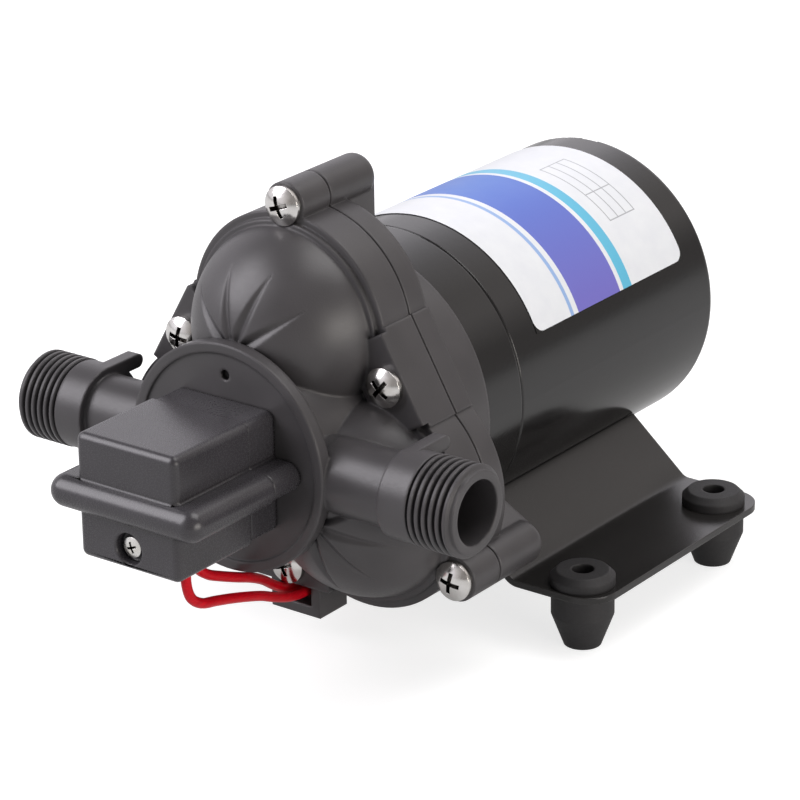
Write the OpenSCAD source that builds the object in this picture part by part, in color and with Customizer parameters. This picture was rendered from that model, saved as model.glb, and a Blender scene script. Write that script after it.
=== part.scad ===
// Caravan water pump: a three-chamber diaphragm head with a pressure switch, driven by a
// brushed motor on a bent sheet base with four rubber feet. Millimetres, +Z up.
// The origin is the centre of the four foot holes on the floor. The ports lie along X,
// the pressure switch points to -Y and the motor to +Y.

/* [Layout] */
// Height of the motor axis above the floor
axis_h = 53; // [51:0.5:60]
// From the foot pattern forward to the joint of head and drive housing
joint_fwd = 54; // [50:0.5:58]

/* [Head] */
// Radius of each of the three lobes
lobe_r = 27; // [26.5:0.1:28]
// Distance of the chamber centres from the pump axis
chamber_pcr = 23.7; // [23.4:0.1:24.4]
// Thickness of the head flange
flange_t = 10; // [9.8:0.1:12]
// Radius of the outer screw bosses
boss_r = 5.2; // [4.9:0.1:6]
// Distance of the outer screws from the pump axis
boss_pcr = 52.5; // [51.5:0.1:54]
// Distance of the waist screws from the pump axis
waist_pcr = 33; // [32.6:0.1:33.4]
// Distance of the flat waist edges from the pump axis
waist_out = 38; // [37.5:0.1:39]
// Half the length of a flat waist edge
waist_half = 12; // [10:0.5:13]
// Height of the waist blocks above the flange
waist_proud = 2; // [1:0.1:3]
// Outer radius of the domes
dome_r = 24.5; // [24:0.1:25]
// Distance of the dome centres in front of the joint
dome_fwd = 5.7; // [5:0.1:6.5]
// Wall thickness of the domes
dome_wall = 4.5; // [4:0.1:5.5]
// Width of the rim round each dome
dome_rim_w = 0.7; // [0.5:0.1:1.2]
// Height of the dome rims above the flange
dome_rim_h = 1.2; // [0.8:0.1:2]
// Radius of the hub where it leaves the flange
hub_r = 27; // [25:0.5:28]
// Radius of the hub behind the switch disc
hub_neck_r = 21; // [19:0.5:23]
// Radius of the switch disc
disc_r = 26.8; // [25:0.1:28]
// Thickness of the switch disc
disc_t = 2.6; // [2.2:0.1:3.5]
// Distance of the back of the switch disc in front of the joint
disc_fwd = 30; // [29.5:0.1:32]
// Width of the raised rim of the switch disc
disc_rim_w = 2.4; // [1.5:0.1:3]
// Height of the raised rim of the switch disc
disc_rim_h = 0.5; // [0.4:0.1:1.2]
// Depth of the petal creases beside the disc
crease_d = 1; // [0.8:0.1:2]

/* [Ports] */
// Distance of the port axis in front of the joint
port_fwd = 24; // [22:0.5:25]
// Distance of the port axis below the pump axis
port_low = 1.2; // [0:0.1:2]
// Distance of the port ends from the pump axis
port_reach = 61.5; // [60:0.5:66]
// Major diameter of the half-inch pipe thread
thread_d = 20.955; // [20:0.005:22]
// Pitch of the pipe thread
thread_pitch = 1.814; // [1.5:0.001:2.2]
// Depth of the pipe thread
thread_h = 1.16; // [0.8:0.01:1.3]
// Number of thread turns on each port
thread_turns = 6; // [4:1:7]
// Bore of the ports
port_bore = 14.8; // [12:0.1:15]
// Outer radius of the port tubes
port_r = 8.6; // [8.5:0.1:9.8]
// Length of the plain collar behind each thread
collar_len = 7.6; // [6:0.1:9]
// Thickness of the bars that run back from the collar
collar_bar = 3.3; // [2:0.1:4]
// Length of the bars behind the port axis
collar_bar_len = 12.5; // [10:0.1:13]

/* [Wire loop] */
// Width of the loop that holds the wires under the head
loop_w = 14; // [12:0.5:18]
// Distance of the bottom of the loop below the pump axis
loop_low = 46.2; // [45:0.1:48]
// Wall of the loop
loop_wall = 2.5; // [2:0.1:3]

/* [Drive housing] */
// Length of the drive housing
drive_len = 16; // [15.5:0.1:18]
// Depth of its three lobes behind the joint
drive_lobe_t = 6; // [5:0.5:8]
// Outer radius of its skirt
skirt_r = 36.5; // [36.3:0.1:38]
// Length of its screw bosses behind the joint
drive_boss_len = 17.5; // [16:0.5:19]
// Thickness of its rear wall
drive_wall = 2.4; // [2:0.1:2.8]

/* [Motor] */
// Radius of the motor
motor_r = 35.75; // [35.4:0.05:36]
// Length of the front bell
bell_len = 14; // [13:0.5:16]
// Length of the can
can_len = 82; // [80:0.5:95]
// Wall of the can and the bell
can_wall = 2; // [1.6:0.1:2.4]
// Diameter of the motor shaft
shaft_d = 8; // [7:0.1:8.4]
// Radius of the armature
armature_r = 27.5; // [26:0.1:28]
// Length of the armature stack
armature_len = 40; // [34:0.5:44]
// Thickness of the magnets
magnet_t = 4.8; // [4:0.1:5]
// Number of armature slots
slots = 10; // [8:1:12]
// Angle that the label covers on the can
label_angle = 135; // [80:1:150]
// Length of the label along the can
label_len = 62; // [40:1:68]
// Thickness of the label
label_t = 0.15; // [0.1:0.01:0.3]

/* [Base plate] */
// Thickness of the sheet
plate_t = 1.6; // [1.5:0.1:2.5]
// Overall width of the base plate
plate_w = 128.5; // [126:0.5:140]
// Distance of the front edge in front of the foot pattern's centre
plate_front = 36; // [35:0.5:37.5]
// Distance of the rear edge behind the foot pattern's centre
plate_rear = 37.4; // [36:0.2:50]
// Height of the top of the plate's flanges above the floor
plate_h = 15; // [14.5:0.1:16.5]
// Slope of the webs
web_slope = 41; // [32:1:46]
// Half angle of the saddle under the motor
saddle_half = 45; // [40:1:48]
// Bend radius between web and flange
plate_bend = 4; // [3:0.5:6]
// Corner radius of the flanges
plate_corner = 7.5; // [3:0.5:8]

/* [Feet] */
// Distance between the foot holes across the pump
foot_dx = 110; // [106:0.5:114]
// Distance between the foot holes along the pump
foot_dy = 56; // [50:0.5:58]
// Diameter of the screw hole in each foot
foot_hole_d = 5.2; // [4:0.1:6]
// Radius of the collar above the plate
foot_collar_r = 7.5; // [6.5:0.1:8]
// Height of the collar above the plate
foot_collar_h = 3.4; // [2.5:0.1:5]
// Radius of the foot under the plate
foot_r = 7.3; // [6.5:0.1:8]
// Radius of the foot on the floor
foot_tip_r = 4.4; // [4.2:0.1:6]
// Radius of the neck in the plate
foot_neck_r = 4.5; // [4:0.1:5.5]

/* [Pressure switch] */
// Half width of the upper and lower parts of the switch box
box_half = 14; // [13.5:0.1:15]
// Height of the top of the switch box above the pump axis
box_top = 14.5; // [14:0.1:16]
// Distance of the bottom of the switch box below the pump axis
box_low = 14.6; // [14.2:0.1:16]
// Half width of the round belt
belt_half = 21; // [20:0.1:23]
// Radius of the round belt
belt_r = 3.8; // [3.6:0.1:4.2]
// Length of the switch base
base_len = 9.4; // [9.2:0.1:12]
// Length of the switch cover
cover_len = 25; // [24.5:0.1:30]
// Edge radius of the switch cover
cover_edge = 1.8; // [1.2:0.1:2.4]
// Wall of the switch box
box_wall = 1.8; // [1.5:0.1:2]
// Distance of the adjusting screw below the pump axis
adjust_low = 9.6; // [9.4:0.1:9.7]
// Radius of the recess round the adjusting screw
adjust_recess_r = 3.6; // [3.2:0.1:3.8]
// Travel of the switch plunger
plunger_travel = 0.6; // [0.3:0.1:0.7]

/* [Drive] */
// Tilt of the wobble plate
tilt = 3.5; // [2:0.1:4]
// Distance of the wobble centre behind the joint
pivot_back = 9.3; // [9.1:0.1:9.5]
// Radius of the pumping chambers
chamber_r = 16.5; // [16:0.1:17]
// Depth of the pumping chambers
chamber_d = 6.6; // [6.2:0.1:7]
// Thickness of the valve plate
valve_t = 9.5; // [9.2:0.1:9.7]
// Radius of the pistons
piston_r = 9; // [8:0.1:9.5]
// Thickness of the pistons
piston_t = 2.4; // [2:0.1:2.6]
// Thickness of the diaphragm
membrane_t = 1.6; // [1.2:0.1:1.8]
// Radius of the screw heads on the housings
screw_head_r = 4.6; // [4:0.1:5]
// Shank diameter of the head screws
screw_d = 4.2; // [3.5:0.1:4.5]

/* [Hidden] */
$fn = 64;

// Colours
moulded = "#3b3a3e";
gloss_black = "#141416";
sheet_black = "#1d1d1f";
rubber = "#1a1a1b";
stainless = "#c9cacc";
steel = "#8f9296";
nylon = "#d9d6cc";
membrane = "#2a2a2c";
copper = "#b87333";
brass = "#c9a24b";
carbon = "#2f2f33";
ferrite = "#3a3a3d";
red_pvc = "#c81420";
white_film = "#f2f3f5";

// Clearances: a running or locating fit, a moulded fit, a soft part
fit_gap = 0.05;
seat_gap = 0.2;
// Overlap that makes a cut pass through a face
cut = 1;

// Stations along the pump axis, forward of the joint, in the pump's own frame
z_disc = disc_fwd + disc_t;
z_seam = z_disc + base_len;
z_front = z_seam + cover_len;
z_bell = -drive_len;
z_can = z_bell - bell_len;
z_rear = z_can - can_len;

// The pump's own frame: X to the right, Y up, Z forward along the axis from the joint
module pump() {
  translate([0, -joint_fwd, axis_h]) rotate([90, 0, 0]) children();
}

// The wobble plate's frame, tilted about the wobble centre
module tilted() {
  translate([0, 0, -pivot_back]) rotate([tilt, 0, 0]) translate([0, 0, pivot_back]) children();
}

// Three copies at one radius, with +X pointing outward
module by_three(radius, first) {
  for (i = [0 : 2]) rotate(first + 120 * i) translate([radius, 0, 0]) children();
}
chamber_dir = 90;
waist_dir = 30;

// Both sides of the pump
module both_sides() {
  children();
  mirror([1, 0, 0]) children();
}

// Round ring between two radii
module ring(outer, inner, h) {
  difference() {
    cylinder(r = outer, h = h);
    translate([0, 0, -cut]) cylinder(r = inner, h = h + 2 * cut);
  }
}

// Rectangle with round corners, from its lower left corner
module round_rect(size, r) {
  translate([r, 0]) square([size[0] - 2 * r, size[1]]);
  translate([0, r]) square([size[0], size[1] - 2 * r]);
  for (x = [r, size[0] - r], y = [r, size[1] - r]) translate([x, y]) circle(r = r);
}

// Box with round edges, between two corners
module soft_box(low, high, r) {
  hull()
    for (x = [low[0] + r, high[0] - r], y = [low[1] + r, high[1] - r], z = [low[2] + r, high[2] - r])
      translate([x, y, z]) sphere(r = r, $fn = 32);
}

// Tube swept along points: rings square to the path, closed by flat ends
function unit(v) = v / norm(v);
function heading(path, i) = unit(path[min(i + 1, len(path) - 1)] - path[max(i - 1, 0)]);
function tube_ring(p, dir, side, r, sides) =
  let (u = unit(cross(side, dir)), v = cross(dir, u))
  [for (k = [0 : sides - 1]) p + r * (cos(360 * k / sides) * u + sin(360 * k / sides) * v)];
module tube(path, r, sides, side_dirs) {
  rings = len(path);
  corners = [for (i = [0 : rings - 1]) each tube_ring(path[i], heading(path, i), side_dirs[i], r, sides)];
  walls = [for (i = [0 : rings - 2], k = [0 : sides - 1])
    let (a = i * sides + k, b = i * sides + (k + 1) % sides)
    each [[a, b + sides, b], [a, a + sides, b + sides]]];
  first_cap = [for (k = [1 : sides - 2]) [0, k, k + 1]];
  last = (rings - 1) * sides;
  last_cap = [for (k = [1 : sides - 2]) [last, last + k + 1, last + k]];
  polyhedron(points = corners, faces = concat(walls, first_cap, last_cap), convexity = 4);
}

// Coil spring of round wire along +Z, with its ends half a wire inside its length
module spring(mean_r, wire_r, length, turns) {
  steps = turns * 8;
  rise = length - 2 * wire_r;
  path = [for (i = [0 : steps])
    [mean_r * cos(45 * i), mean_r * sin(45 * i), wire_r + rise * i / steps]];
  upward = [for (i = [0 : steps]) [0, 0, 1]];
  tube(path, wire_r, 6, upward);
}

// Ball bearing races with a round groove, centred on the origin
module race(outer, inner, width, pitch_r, ball_r) {
  rotate_extrude() difference() {
    translate([inner, -width / 2]) square([outer - inner, width]);
    translate([pitch_r, 0]) circle(r = ball_r + fit_gap);
  }
}
module balls(count, pitch_r, ball_r) {
  for (i = [0 : count - 1]) rotate(360 * i / count) translate([pitch_r, 0, 0]) sphere(r = ball_r);
}

// Screw along -Z under its head, which stands on z = 0, with a cross recess
module pan_head(head_r, head_h, crown) {
  difference() {
    rotate_extrude() intersection() {
      translate([0, head_h - head_r * crown]) circle(r = head_r * crown);
      square([head_r, head_h]);
    }
    for (a = [20, 110]) rotate(a) translate([-head_r * 0.55, -head_r * 0.11, head_h * 0.35])
      cube([head_r * 1.1, head_r * 0.22, head_h]);
  }
}
module pan_screw(head_r, head_h, d, length) {
  translate([0, 0, -length]) cylinder(d = d, h = length + head_h * 0.3);
  pan_head(head_r, head_h, 1.6);
}

// Outline shared by the head flange and the drive housing
module flange_outline(inset = 0) {
  by_three(chamber_pcr, chamber_dir) circle(r = lobe_r - inset);
  by_three(boss_pcr, chamber_dir) circle(r = boss_r - inset);
  by_three(0, waist_dir) translate([0, inset - waist_half])
    square([waist_out - inset, 2 * (waist_half - inset)]);
}

// Outline of the pocket that holds the valve plate and the diaphragm
pocket_r = dome_r - dome_wall + 1;
pocket_hub_r = 22.7;
module pocket_outline(gap) {
  by_three(chamber_pcr, chamber_dir) circle(r = pocket_r - gap);
  circle(r = pocket_hub_r - gap);
}

// Head housing

// One crease between two petals: deepest beside the disc, fading towards the rim
crease_shift = 3.2;
crease_round = 9;
crease_flare = 0.5;
crease_from = 20;
crease_to = 84;
crease_angles = [-54, -18, 18, 54];
module crease() {
  apex_r = dome_r - crease_d + crease_shift;
  rise = crease_d + crease_flare;
  half = sqrt(2 * crease_round * rise - rise * rise);
  translate([0, 0, -crease_shift]) rotate([90, 0, 0]) rotate(crease_from)
    rotate_extrude(angle = crease_to - crease_from) difference() {
      translate([apex_r - cut / 2, -half]) square([rise + 2 * cut, 2 * half]);
      for (s = [-1, 1]) translate([apex_r + rise - crease_round, s * half]) circle(r = crease_round);
    }
}
module dome() {
  translate([0, 0, dome_fwd]) difference() {
    rotate([90, 0, 0]) sphere(r = dome_r, $fn = 96);
    for (a = crease_angles) rotate(a) crease();
    translate([-dome_r - cut, -dome_r - cut, -2 * dome_r - dome_fwd + cut])
      cube([2 * dome_r + 2 * cut, 2 * dome_r + 2 * cut, 2 * dome_r]);
  }
}

// Pipe thread as a row of crests along +Z, with a lead-in at its end
thread_r = thread_d / 2;
thread_root_r = thread_r - thread_h;
thread_crest = thread_pitch * 0.4;
thread_len = thread_turns * thread_pitch + thread_pitch / 2;
module thread() {
  flank = (thread_pitch - thread_crest) / 2;
  crests = [for (i = [0 : thread_turns - 1])
    let (z = i * thread_pitch + thread_pitch / 4)
    each [[thread_root_r, z], [thread_r, z + flank - thread_pitch / 8],
          [thread_r, z + flank + thread_crest - thread_pitch / 8],
          [thread_root_r, z + thread_pitch - thread_pitch / 4]]];
  rotate_extrude()
    polygon(concat([[0, 0], [thread_root_r, 0]], crests, [[thread_root_r, thread_len], [0, thread_len]]));
}

// One port on +X: tube, plain collar with its two bars, and thread
way_r = 6.4;
way_wall = 2;
collar_r = thread_r - 0.2;
x_collar = port_reach - thread_len - collar_len;
module on_port_axis() {
  translate([0, -port_low, port_fwd]) rotate([0, 90, 0]) children();
}
module port() {
  bar_straight = collar_bar_len - collar_bar / 2;
  on_port_axis() {
    cylinder(r = way_r + way_wall, h = x_collar);
    translate([0, 0, disc_r - disc_rim_w]) cylinder(r = port_r, h = x_collar + cut - disc_r + disc_rim_w);
    translate([0, 0, x_collar]) cylinder(r = collar_r, h = collar_len);
    translate([0, 0, x_collar + collar_len]) thread();
  }
  on_port_axis() for (s = [-1, 1])
    translate([0, s * (collar_r - collar_bar / 2), x_collar]) linear_extrude(collar_bar) {
      translate([0, -collar_bar / 2]) square([bar_straight, collar_bar]);
      translate([bar_straight, 0]) circle(r = collar_bar / 2);
    }
}

// Loop under the head that the wires pass through
module wire_loop() {
  translate([-loop_w / 2, -loop_low, 0]) cube([loop_w, loop_low - waist_pcr, flange_t]);
}
loop_top = waist_out + 0.5;
module wire_loop_opening() {
  translate([-loop_w / 2 + loop_wall, -loop_low + loop_wall, -cut])
    cube([loop_w - 2 * loop_wall, loop_low - loop_wall - loop_top, flange_t + waist_proud + 2 * cut]);
}

// Water ways inside the head: inlet on -X round the middle, outlet on +X from the middle
outlet_r = 8;
outlet_wall = 3;
gallery_r = 16;
gallery_t = 3.5;
drop_r = 4.5;
drop_x = outlet_r + outlet_wall + drop_r + 0.8;
port_bore_len = 22;
sense_r = 2;
module water_ways() {
  linear_extrude(valve_t) pocket_outline(0);
  difference() {
    union() {
      by_three(chamber_pcr, chamber_dir) translate([0, 0, dome_fwd]) intersection() {
        rotate([90, 0, 0]) sphere(r = dome_r - dome_wall, $fn = 96);
        translate([-dome_r, -dome_r, valve_t - dome_fwd - 0.5]) cube([2 * dome_r, 2 * dome_r, dome_r]);
      }
      cylinder(r = gallery_r, h = valve_t + gallery_t);
    }
    cylinder(r = outlet_r + outlet_wall, h = disc_fwd);
    on_port_axis() cylinder(r = way_r + way_wall, h = port_reach);
  }
  cylinder(r = outlet_r, h = disc_fwd - outlet_wall / 2);
  cylinder(r = sense_r, h = z_disc + cut);
  on_port_axis() cylinder(r = way_r, h = port_reach);
  translate([-drop_x, -port_low, 0]) cylinder(r = drop_r, h = port_fwd);
  mirror([1, 0, 0]) on_port_axis() translate([0, 0, drop_x]) cylinder(r = way_r, h = port_reach - drop_x);
  both_sides() on_port_axis() translate([0, 0, port_reach - port_bore_len])
    cylinder(d = port_bore, h = port_bore_len + cut);
}

screw_hole_r = screw_d / 2 + seat_gap;
waist_deep = 12;
vent_r = 1.2;
vent_up = 19.5;
vent_d = 1.5;
// Groove round the joint of the head and the drive housing
seam_d = 0.4;
seam_h = 0.5;
module head_housing() {
  color(moulded) pump() difference() {
    union() {
      linear_extrude(flange_t) flange_outline(seam_d);
      translate([0, 0, seam_h]) linear_extrude(flange_t - seam_h) flange_outline();
      by_three(waist_out, waist_dir) translate([-waist_deep, 1 - waist_half, seam_h])
        cube([waist_deep, 2 * waist_half - 2, flange_t + waist_proud - seam_h]);
      linear_extrude(flange_t + dome_rim_h) by_three(chamber_pcr, chamber_dir)
        circle(r = dome_r + dome_rim_w);
      by_three(chamber_pcr, chamber_dir) dome();
      cylinder(r1 = hub_r, r2 = hub_neck_r, h = disc_fwd + disc_t / 2);
      translate([0, 0, disc_fwd]) cylinder(r = disc_r, h = disc_t);
      translate([0, 0, disc_fwd]) ring(disc_r, disc_r - disc_rim_w, disc_t + disc_rim_h);
      both_sides() port();
      wire_loop();
    }
    water_ways();
    wire_loop_opening();
    by_three(boss_pcr, chamber_dir) {
      translate([0, 0, -cut]) cylinder(r = screw_hole_r, h = flange_t + 2 * cut);
      translate([0, 0, flange_t]) cylinder(r = screw_head_r + seat_gap, h = dome_rim_h + cut);
    }
    by_three(waist_pcr, waist_dir) translate([0, 0, -cut])
      cylinder(r = screw_hole_r, h = flange_t + waist_proud + 2 * cut);
    translate([0, vent_up, z_disc - vent_d]) cylinder(r = vent_r, h = vent_d + cut);
    at_switch_screws() translate([0, 0, z_disc - switch_screw_in - seat_gap])
      cylinder(r = switch_screw_r + fit_gap, h = disc_t);
  }
}

// Drive housing

cavity_r = piston_r + 2;
cavity_hub_r = 20;
flex_r = 15.2;
flex_d = 4.8;
shaft_hole_r = 9;
pilot_r = screw_d / 2 + fit_gap;
boss_screw_grip = 13;
waist_screw_grip = 5;
boss_screw_len = flange_t + boss_screw_grip;
waist_screw_len = flange_t + waist_proud + drive_lobe_t + waist_screw_grip;
rib_half = 4.2;
rib_root = 0.4;
rib_short = 0.5;
boss_round = 2.6;
module drive_boss() {
  translate([0, 0, -drive_boss_len]) rotate_extrude() {
    square([boss_r - boss_round, drive_boss_len]);
    translate([0, boss_round]) square([boss_r, drive_boss_len - boss_round]);
    translate([boss_r - boss_round, boss_round]) circle(r = boss_round);
  }
  translate([skirt_r - rib_root - boss_pcr, -rib_half, rib_short - drive_boss_len])
    cube([boss_pcr - skirt_r + rib_root, 2 * rib_half, drive_boss_len - rib_short]);
}
module drive_housing() {
  color(moulded) pump() difference() {
    union() {
      translate([0, 0, -drive_lobe_t]) linear_extrude(drive_lobe_t) flange_outline();
      translate([0, 0, z_bell]) cylinder(r = skirt_r, h = drive_len);
      by_three(boss_pcr, chamber_dir) drive_boss();
    }
    translate([0, 0, -membrane_t]) linear_extrude(membrane_t + cut) pocket_outline(0);
    by_three(chamber_pcr, chamber_dir) translate([0, 0, -flex_d]) cylinder(r = flex_r, h = flex_d + cut);
    translate([0, 0, z_bell + drive_wall]) linear_extrude(drive_len) {
      by_three(chamber_pcr, chamber_dir) circle(r = cavity_r);
      circle(r = cavity_hub_r);
    }
    translate([0, 0, z_bell - cut]) cylinder(r = shaft_hole_r, h = drive_len);
    by_three(boss_pcr, chamber_dir) translate([0, 0, flange_t - boss_screw_len - 0.5])
      cylinder(r = pilot_r, h = boss_screw_len);
    by_three(waist_pcr, waist_dir) translate([0, 0, flange_t + waist_proud - waist_screw_len - 0.5])
      cylinder(r = pilot_r, h = waist_screw_len);
    at_motor_screws() translate([0, 0, z_bell - cut])
      cylinder(r = motor_screw_r + seat_gap, h = drive_len);
  }
}

screw_head_h = 3;
module head_screws() {
  color(stainless) pump() {
    by_three(boss_pcr, chamber_dir) translate([0, 0, flange_t])
      pan_screw(screw_head_r, screw_head_h, screw_d, boss_screw_len);
    by_three(waist_pcr, waist_dir) translate([0, 0, flange_t + waist_proud])
      pan_screw(screw_head_r, screw_head_h, screw_d, waist_screw_len);
  }
}

// Valves and diaphragm

valve_hole_r = 1.3;
valve_hole_pcr = 3.6;
valve_stem_r = 1.2;
valve_disc_r = 5.8;
valve_disc_t = 1;
outlet_hole_pcr = 5;
outlet_slot_r = 1.6;
valve_head_r = 2.2;
intake_out = 5;
module valve_plate() {
  color(nylon) pump() difference() {
    linear_extrude(valve_t - seat_gap) pocket_outline(seat_gap);
    by_three(chamber_pcr, chamber_dir) {
      translate([0, 0, -cut]) cylinder(r = chamber_r, h = chamber_d + cut);
      translate([intake_out, 0, 0]) {
        cylinder(r = valve_stem_r + fit_gap, h = valve_t + cut);
        for (i = [0 : 4]) rotate(72 * i) translate([valve_hole_pcr, 0, 0])
          cylinder(r = valve_hole_r, h = valve_t + cut);
      }
      translate([outlet_hole_pcr - chamber_pcr, 0, 0]) cylinder(r = outlet_slot_r, h = valve_t + cut);
      translate([outlet_hole_pcr - chamber_pcr, -outlet_slot_r, chamber_d / 2])
        cube([chamber_pcr - chamber_r, 2 * outlet_slot_r, 1.5]);
    }
    translate([0, 0, valve_t / 2]) cylinder(r = valve_stem_r + fit_gap, h = valve_t);
  }
}
module intake_valves() {
  color(membrane) pump() by_three(chamber_pcr + intake_out, chamber_dir) {
    translate([0, 0, chamber_d - valve_disc_t]) cylinder(r = valve_disc_r, h = valve_disc_t);
    translate([0, 0, chamber_d - valve_disc_t])
      cylinder(r = valve_stem_r, h = valve_t - chamber_d + valve_disc_t + 1);
    translate([0, 0, valve_t - seat_gap]) cylinder(r1 = valve_head_r, r2 = valve_stem_r / 2, h = 1.8);
  }
}
outlet_cup_r = 7.2;
outlet_cup_h = 4.5;
module outlet_valve() {
  color(membrane) pump() translate([0, 0, valve_t - seat_gap]) {
    difference() {
      cylinder(r1 = outlet_cup_r, r2 = outlet_cup_r - 1.5, h = outlet_cup_h);
      translate([0, 0, 1]) cylinder(r1 = outlet_cup_r - 1.4, r2 = outlet_cup_r - 2.7, h = outlet_cup_h);
    }
    translate([0, 0, -valve_t / 2 + seat_gap + 0.5]) cylinder(r = valve_stem_r, h = valve_t / 2);
  }
}

roll_r = 2.4;
roll_pcr = 12.4;
roll_fwd = 0.6;
module diaphragm() {
  color(membrane) pump() difference() {
    union() {
      difference() {
        translate([0, 0, -membrane_t]) linear_extrude(membrane_t) pocket_outline(seat_gap);
        by_three(chamber_pcr, chamber_dir) translate([0, 0, -membrane_t - cut])
          cylinder(r = roll_pcr, h = membrane_t + 2 * cut);
      }
      by_three(chamber_pcr, chamber_dir) translate([0, 0, roll_fwd]) rotate_extrude()
        translate([roll_pcr, 0]) circle(r = roll_r);
      tilted() by_three(chamber_pcr, chamber_dir) translate([0, 0, -membrane_t])
        cylinder(r = roll_pcr, h = membrane_t);
    }
    tilted() by_three(chamber_pcr, chamber_dir) translate([0, 0, -membrane_t - cut])
      cylinder(r = piston_screw_r + seat_gap, h = membrane_t + 2 * cut);
  }
}

piston_screw_r = 1.75;
piston_screw_head_r = 3.4;
piston_screw_len = 6.5;
piston_sink = piston_screw_head_r - piston_screw_r;
module pistons() {
  color(nylon) pump() tilted() by_three(chamber_pcr, chamber_dir) difference() {
    cylinder(r1 = piston_r, r2 = piston_r - 1, h = piston_t);
    translate([0, 0, -cut]) cylinder(r = piston_screw_r + seat_gap, h = piston_t + 2 * cut);
    translate([0, 0, piston_t - piston_sink])
      cylinder(r1 = piston_screw_r + seat_gap, r2 = piston_screw_head_r + seat_gap, h = piston_sink);
  }
}
module piston_screws() {
  color(steel) pump() tilted() by_three(chamber_pcr, chamber_dir) {
    translate([0, 0, piston_t - piston_screw_len]) cylinder(r = piston_screw_r, h = piston_screw_len);
    translate([0, 0, piston_t - piston_sink])
      cylinder(r1 = piston_screw_r, r2 = piston_screw_head_r, h = piston_sink);
  }
}

// Wobble drive

wob_outer_r = 14;
wob_groove_out = 11.2;
wob_groove_in = 8.6;
wob_bore_r = 6.5;
wob_pitch_r = 9.9;
wob_ball_r = 2;
wob_width = 6;
wob_balls = 8;
hub_wall = 3;
hub_back = 2.4;
shoulder = 1.4;
shoulder_t = 0.8;
pad_back = 3.4;
arm_half = 5;
arm_drop = 1.6;
arm_t = 2.8;
// Heights in the tilted frame, from the wobble centre
pad_face = pivot_back - membrane_t;
module wobble_plate() {
  hub_floor = wob_width / 2 + shoulder_t;
  color(nylon) pump() tilted() translate([0, 0, -pivot_back]) difference() {
    union() {
      translate([0, 0, -hub_back])
        cylinder(r = wob_outer_r + hub_wall, h = hub_back + pad_face - arm_drop);
      by_three(chamber_pcr, chamber_dir) {
        translate([0, 0, pad_face - pad_back]) cylinder(r = piston_r, h = pad_back);
        translate([-chamber_pcr, -arm_half, pad_face - arm_drop - arm_t])
          cube([chamber_pcr, 2 * arm_half, arm_t]);
      }
    }
    translate([0, 0, -hub_back - cut])
      cylinder(r = wob_outer_r + fit_gap / 2, h = hub_back + cut + wob_width / 2);
    cylinder(r = wob_outer_r - shoulder, h = hub_floor);
    by_three(chamber_pcr, chamber_dir)
      translate([0, 0, pad_face + membrane_t + piston_t - piston_screw_len - 0.3])
        cylinder(r = piston_screw_r + fit_gap, h = piston_screw_len);
  }
}
module at_wobble() {
  pump() tilted() translate([0, 0, -pivot_back]) children();
}
module wobble_bearing_outer() {
  color(steel) at_wobble() race(wob_outer_r, wob_groove_out, wob_width, wob_pitch_r, wob_ball_r);
}
module wobble_bearing_balls() {
  color(stainless) at_wobble() balls(wob_balls, wob_pitch_r, wob_ball_r);
}
module wobble_bearing_inner() {
  color(steel) at_wobble() race(wob_groove_in, wob_bore_r, wob_width, wob_pitch_r, wob_ball_r);
}
shaft_r = shaft_d / 2;
cam_len = 6.4;
module wobble_cam() {
  color(steel) difference() {
    at_wobble() translate([0, 0, -cam_len / 2]) cylinder(r = wob_bore_r - fit_gap / 2, h = cam_len);
    pump() translate([0, 0, -pivot_back - cam_len]) cylinder(r = shaft_r + fit_gap / 2, h = 2 * cam_len);
  }
}

// Motor

bearing_r = 11;
bearing_w = 7;
bearing_pitch_r = 7.6;
bearing_ball_r = 1.6;
bearing_balls = 8;
bearing_in_r = 6.4;
bearing_out_r = 8.8;
bell_front = 3;
bearing_wall = 3;
z_bearing = z_bell - bell_front - bearing_w / 2;
edge = 0.4;
wire_gland_back = 8;
wire_gland_r = 3.4;
module motor_bell() {
  color(gloss_black) pump() difference() {
    union() {
      translate([0, 0, z_can]) rotate_extrude() polygon([
        [motor_r - can_wall, 0], [motor_r - edge, 0], [motor_r, edge], [motor_r, bell_len - edge],
        [motor_r - edge, bell_len], [0, bell_len], [0, bell_len - bell_front],
        [motor_r - can_wall, bell_len - bell_front]]);
      translate([0, 0, z_bell - bell_front - bearing_w])
        cylinder(r = bearing_r + bearing_wall, h = bearing_w + bell_front / 2);
    }
    translate([0, 0, z_bell - bell_front - bearing_w - cut])
      cylinder(r = bearing_r + fit_gap / 2, h = bearing_w + cut);
    translate([0, 0, z_bell - bell_front - cut]) cylinder(r = bearing_out_r, h = bell_front + 2 * cut);
    at_motor_screws() translate([0, 0, z_bell - bell_front - cut])
      cylinder(r = motor_screw_r + fit_gap, h = bell_front + 2 * cut);
    translate([0, -motor_r - cut, z_bell - wire_gland_back]) rotate([-90, 0, 0])
      cylinder(r = wire_gland_r, h = can_wall + 2 * cut);
  }
}
module at_front_bearing() {
  pump() translate([0, 0, z_bearing]) children();
}
module front_bearing_outer() {
  color(steel) at_front_bearing()
    race(bearing_r, bearing_out_r, bearing_w, bearing_pitch_r, bearing_ball_r);
}
module front_bearing_balls() {
  color(stainless) at_front_bearing() balls(bearing_balls, bearing_pitch_r, bearing_ball_r);
}
module front_bearing_inner() {
  color(steel) at_front_bearing()
    race(bearing_in_r, shaft_r + fit_gap / 2, bearing_w, bearing_pitch_r, bearing_ball_r);
}

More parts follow.
